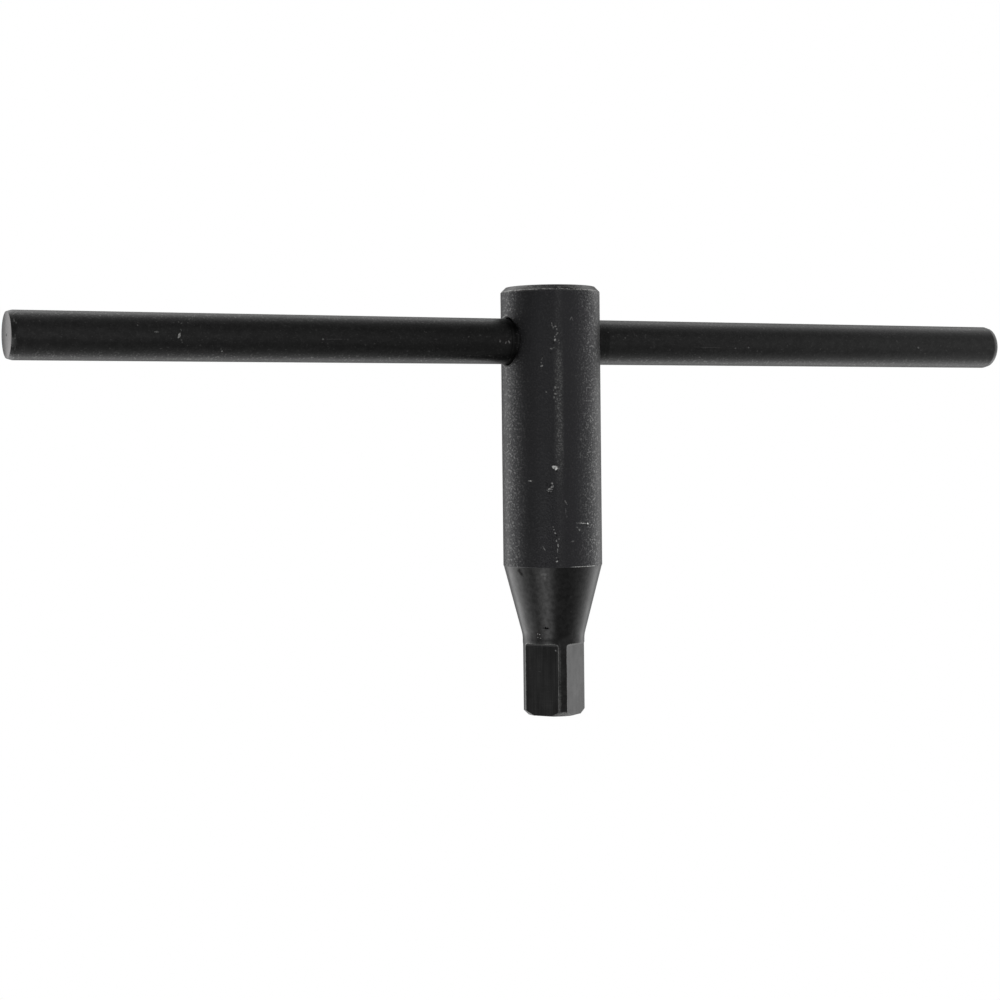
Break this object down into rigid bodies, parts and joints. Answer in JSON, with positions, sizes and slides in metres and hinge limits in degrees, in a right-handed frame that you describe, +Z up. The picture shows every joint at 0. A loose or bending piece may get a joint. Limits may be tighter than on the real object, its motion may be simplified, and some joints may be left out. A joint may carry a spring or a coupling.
{
  "type": "chuck key",
  "caption": "T-handle chuck key in black-oxide steel: cylindrical head with a plain cross bar, tapered shank and a square drive end with round lands.",
  "frame": {"origin": "centre of the square drive's end face", "axes": "+Z up the shank towards the head, X along the handle bar, and the drive's first flat faces 35 degrees from +X towards +Y"},
  "size_m": [0.24, 0.022, 0.0947],
  "materials": {
    "shank_steel": "black oxide: a fine grained mill skin on the head, turned taper and chamfers, milled flats",
    "bar_steel": "black oxide on smooth drawn bar"
  },
  "bodies": {
    "root": {"shank": "shank_steel", "handle_bar": "bar_steel"}
  },
  "joints": []
}
